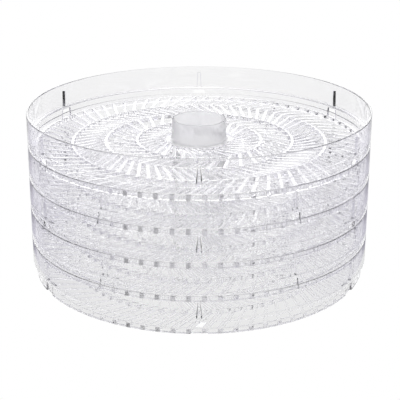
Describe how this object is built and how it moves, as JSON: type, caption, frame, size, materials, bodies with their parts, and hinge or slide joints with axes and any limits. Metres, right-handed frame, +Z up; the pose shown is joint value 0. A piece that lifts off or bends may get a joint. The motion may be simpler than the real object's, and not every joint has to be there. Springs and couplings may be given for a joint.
{
  "type": "food dehydrator tray stack",
  "caption": "Stack of clear round food dehydrator trays with slatted floors and frosted central hubs; each tray stands on the ribs of the tray below and lifts off.",
  "frame": {"origin": "centre of the stack's underside, on the surface it stands on", "axes": "+Z up along the stack's axis; -Y faces the front, where the ribs of the bottom, middle and top trays stand"},
  "size_m": [0.29, 0.29, 0.1405],
  "materials": {
    "clear_plastic": "clear polished injection-moulded plastic",
    "frosted_plastic": "frosted translucent injection-moulded plastic"
  },
  "bodies": {
    "tray_1": {"tray_1_wall": "clear_plastic", "tray_1_floor": "clear_plastic", "tray_1_hub": "frosted_plastic"},
    "tray_2": {"tray_2_wall": "clear_plastic", "tray_2_floor": "clear_plastic", "tray_2_hub": "frosted_plastic"},
    "tray_3": {"tray_3_wall": "clear_plastic", "tray_3_floor": "clear_plastic", "tray_3_hub": "frosted_plastic"},
    "tray_4": {"tray_4_wall": "clear_plastic", "tray_4_floor": "clear_plastic", "tray_4_hub": "frosted_plastic"},
    "tray_5": {"tray_5_wall": "clear_plastic", "tray_5_floor": "clear_plastic", "tray_5_hub": "frosted_plastic"}
  },
  "joints": [
    {"name": "tray_2_lift", "type": "slide", "parent": "tray_1", "child": "tray_2", "axis": [0, 0, 1], "range_m": [0, 0.05]},
    {"name": "tray_3_lift", "type": "slide", "parent": "tray_2", "child": "tray_3", "axis": [0, 0, 1], "range_m": [0, 0.05]},
    {"name": "tray_4_lift", "type": "slide", "parent": "tray_3", "child": "tray_4", "axis": [0, 0, 1], "range_m": [0, 0.05]},
    {"name": "tray_5_lift", "type": "slide", "parent": "tray_4", "child": "tray_5", "axis": [0, 0, 1], "range_m": [0, 0.05]}
  ]
}
